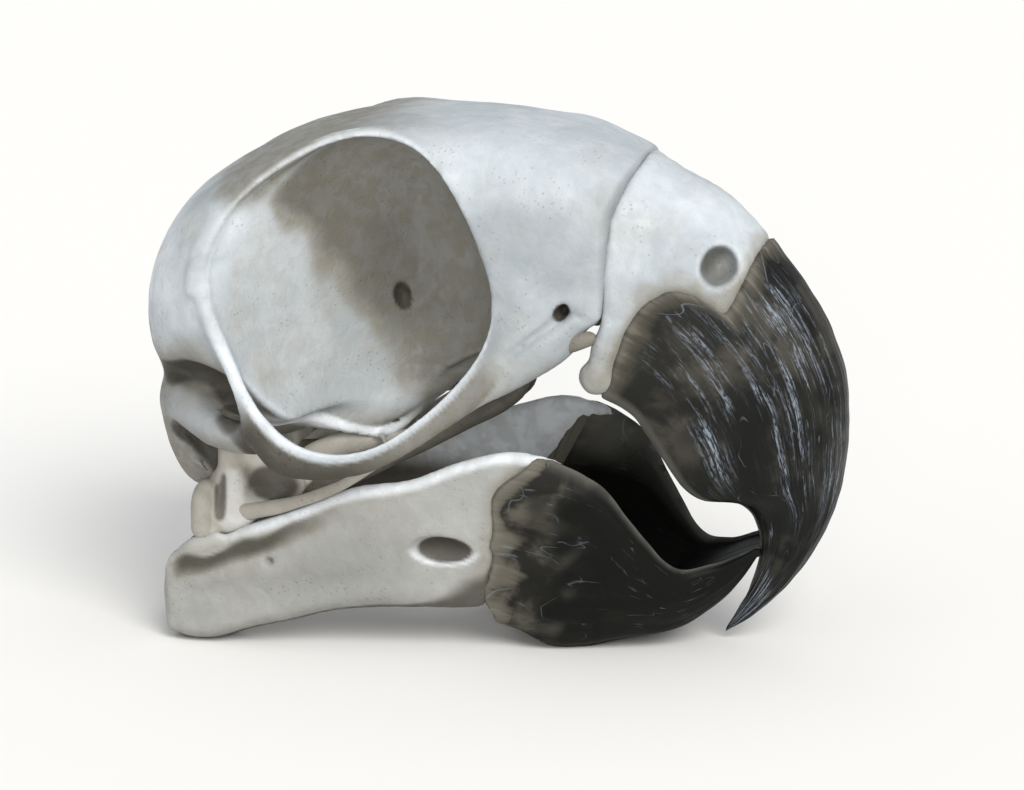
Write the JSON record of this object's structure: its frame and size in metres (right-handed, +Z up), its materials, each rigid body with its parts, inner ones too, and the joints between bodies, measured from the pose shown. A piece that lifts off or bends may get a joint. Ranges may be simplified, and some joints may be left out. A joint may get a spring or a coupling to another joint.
{
  "type": "bird skull",
  "caption": "Skull of a large cockatoo with its dark horn bill sheaths on, jaws nearly closed, eye sockets ringed by bone; a still, life-size display model.",
  "frame": {"origin": "middle of the bounding box's underside, on the surface that the lower jaw rests on", "axes": "+X towards the bill, +Y to the bird's left, +Z up"},
  "size_m": [0.0797, 0.0448, 0.06],
  "materials": {
    "bone": "clean dry bone, matt, faintly blue-white",
    "small_bone": "dry bone, matt, brown-grey with age",
    "horn": "dark horn, satin, streaked along the growth"
  },
  "bodies": {
    "root": {"cranium": "bone", "upper_bill_bone": "bone", "upper_bill_horn": "horn", "lower_jaw_bone": "bone", "lower_jaw_horn": "horn", "jugal_bar_right": "small_bone", "jugal_bar_left": "small_bone", "palatine_right": "small_bone", "palatine_left": "small_bone", "pterygoid_right": "small_bone", "pterygoid_left": "small_bone", "quadrate_right": "small_bone", "quadrate_left": "small_bone"}
  },
  "joints": []
}
